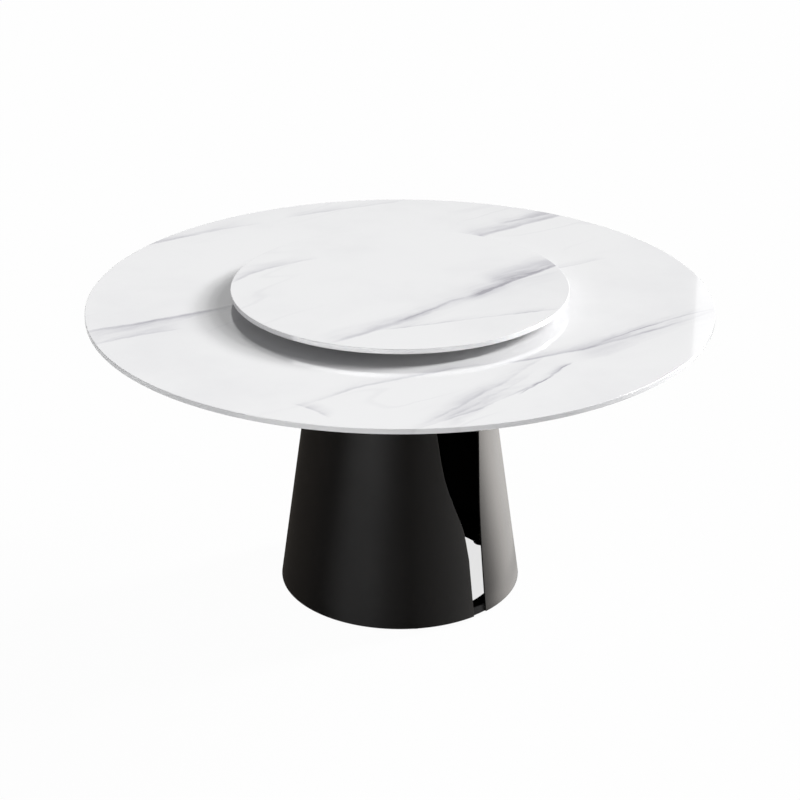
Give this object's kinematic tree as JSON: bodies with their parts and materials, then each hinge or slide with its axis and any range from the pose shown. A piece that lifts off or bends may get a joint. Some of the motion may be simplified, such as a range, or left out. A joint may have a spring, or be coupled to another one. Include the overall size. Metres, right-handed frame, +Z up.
{
  "type": "dining table with lazy susan",
  "caption": "Round stone-topped dining table on a conical black steel pedestal with a curved slot, carrying a raised stone disc that turns on a flat ball bearing.",
  "frame": {"origin": "on the floor, on the axis of the table and its turntable", "axes": "+Z up along the turntable's axis, -Y towards the front that the picture shows"},
  "size_m": [1.4998, 1.4998, 0.785],
  "materials": {
    "white_stone": "polished white sintered stone with soft grey veins",
    "plywood": "sealed plywood",
    "black_sheet": "satin black powder coat on steel sheet",
    "black_frame": "matt black powder coat",
    "zinc_steel": "zinc plated",
    "black_rubber": "soft matt",
    "foot_plastic": "moulded, fine grain",
    "aluminium_race": "turned and anodised",
    "white_nylon": "natural nylon",
    "bright_steel": "polished"
  },
  "bodies": {
    "table": {"tabletop_slab": "white_stone", "backing_board": "plywood", "threaded_inserts": "zinc_steel", "mounting_bolts": "zinc_steel", "mounting_washers": "zinc_steel", "top_plate": "black_frame", "left_shell": "black_sheet", "right_shell": "black_sheet", "seam_strip": "black_frame", "shell_nuts": "zinc_steel", "bottom_ring": "black_frame", "foot_nuts": "zinc_steel", "base_pads": "black_rubber", "lower_race": "aluminium_race", "race_cap": "aluminium_race", "cap_screws": "zinc_steel", "support_post_1": "black_frame", "support_post_2": "black_frame", "support_post_3": "black_frame", "support_post_4": "black_frame"},
    "lazy_susan": {"turntable_disc": "white_stone", "disc_pads": "black_rubber", "upper_race": "aluminium_race"},
    "ball_cage": {"ball_cage": "white_nylon", "bearing_balls": "bright_steel"},
    "foot_1": {"foot_pad_1": "foot_plastic", "foot_stud_1": "zinc_steel"},
    "foot_2": {"foot_pad_2": "foot_plastic", "foot_stud_2": "zinc_steel"},
    "foot_3": {"foot_pad_3": "foot_plastic", "foot_stud_3": "zinc_steel"},
    "foot_4": {"foot_pad_4": "foot_plastic", "foot_stud_4": "zinc_steel"},
    "foot_5": {"foot_pad_5": "foot_plastic", "foot_stud_5": "zinc_steel"},
    "foot_6": {"foot_pad_6": "foot_plastic", "foot_stud_6": "zinc_steel"}
  },
  "joints": [
    {"name": "lazy_susan_turn", "type": "hinge", "parent": "table", "child": "lazy_susan", "pos_m": [0, 0, 0.7615], "axis": [0, 0, 1], "continuous": true},
    {"name": "ball_cage_turn", "type": "hinge", "parent": "table", "child": "ball_cage", "pos_m": [0, 0, 0.7615], "axis": [0, 0, 1], "continuous": true},
    {"name": "foot_1_level", "type": "slide", "parent": "table", "child": "foot_1", "axis": [0, 0, -1], "range_m": [0, 0.008]},
    {"name": "foot_2_level", "type": "slide", "parent": "table", "child": "foot_2", "axis": [0, 0, -1], "range_m": [0, 0.008]},
    {"name": "foot_3_level", "type": "slide", "parent": "table", "child": "foot_3", "axis": [0, 0, -1], "range_m": [0, 0.008]},
    {"name": "foot_4_level", "type": "slide", "parent": "table", "child": "foot_4", "axis": [0, 0, -1], "range_m": [0, 0.008]},
    {"name": "foot_5_level", "type": "slide", "parent": "table", "child": "foot_5", "axis": [0, 0, -1], "range_m": [0, 0.008]},
    {"name": "foot_6_level", "type": "slide", "parent": "table", "child": "foot_6", "axis": [0, 0, -1], "range_m": [0, 0.008]}
  ],
  "couplings": [
    {"joint": "ball_cage_turn", "follows": "lazy_susan_turn", "ratio": 0.5}
  ]
}
